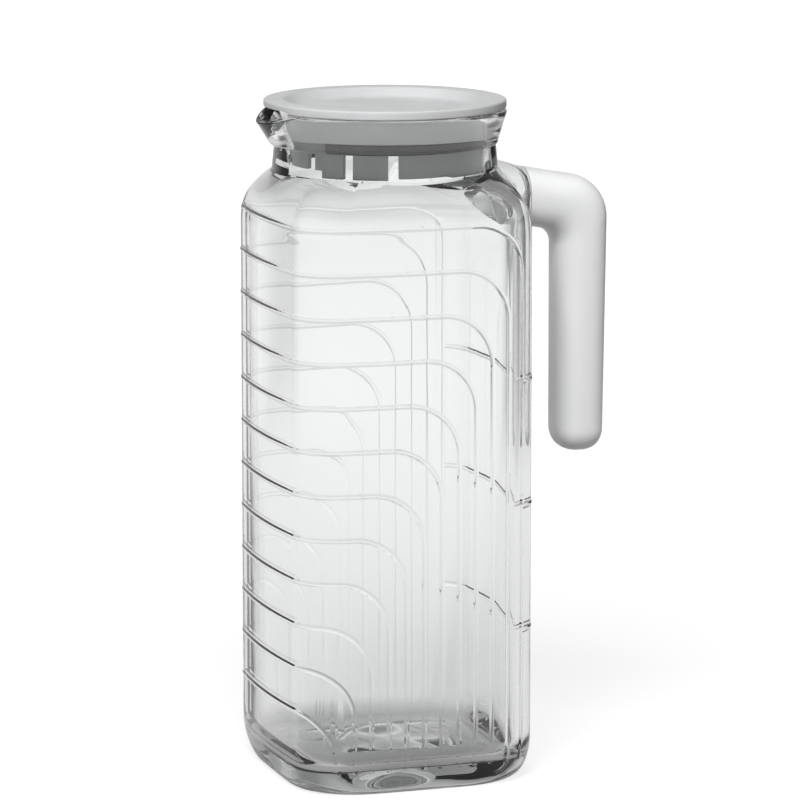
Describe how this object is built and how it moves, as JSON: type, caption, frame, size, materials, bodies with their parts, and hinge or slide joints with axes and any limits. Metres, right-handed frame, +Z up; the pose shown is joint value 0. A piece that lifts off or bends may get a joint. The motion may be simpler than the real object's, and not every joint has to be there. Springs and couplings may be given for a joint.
{
  "type": "lidded glass jug",
  "caption": "Square clear-glass fridge jug with nested raised lines, a round spouted collar, a hook handle and a push-in strainer lid that lifts off and turns.",
  "frame": {"origin": "centre of the jug's outline on the surface it stands on, with the spout and the handle counted in", "axes": "+Z up along the jug's axis, +X towards the handle with the spout at -X, +Y to the back; the picture looks at the front, from -Y"},
  "size_m": [0.1372, 0.098, 0.256],
  "materials": {
    "clear_glass": "gloss",
    "satin_glass": "satin",
    "lid_plastic": "satin",
    "skirt_plastic": "satin",
    "seal_rubber": "matte"
  },
  "bodies": {
    "jug": {"jug_body": "clear_glass", "handle": "satin_glass"},
    "seal": {"lid_seal": "seal_rubber"},
    "lid": {"lid_cap": "lid_plastic", "lid_strainer": "skirt_plastic"}
  },
  "joints": [
    {"name": "lid_lift", "type": "slide", "parent": "jug", "child": "seal", "axis": [0, 0, 1], "range_m": [0, 0.06]},
    {"name": "lid_turn", "type": "hinge", "parent": "seal", "child": "lid", "pos_m": [-0.01895, 0, 0.2419], "axis": [0, 0, 1], "continuous": true}
  ]
}
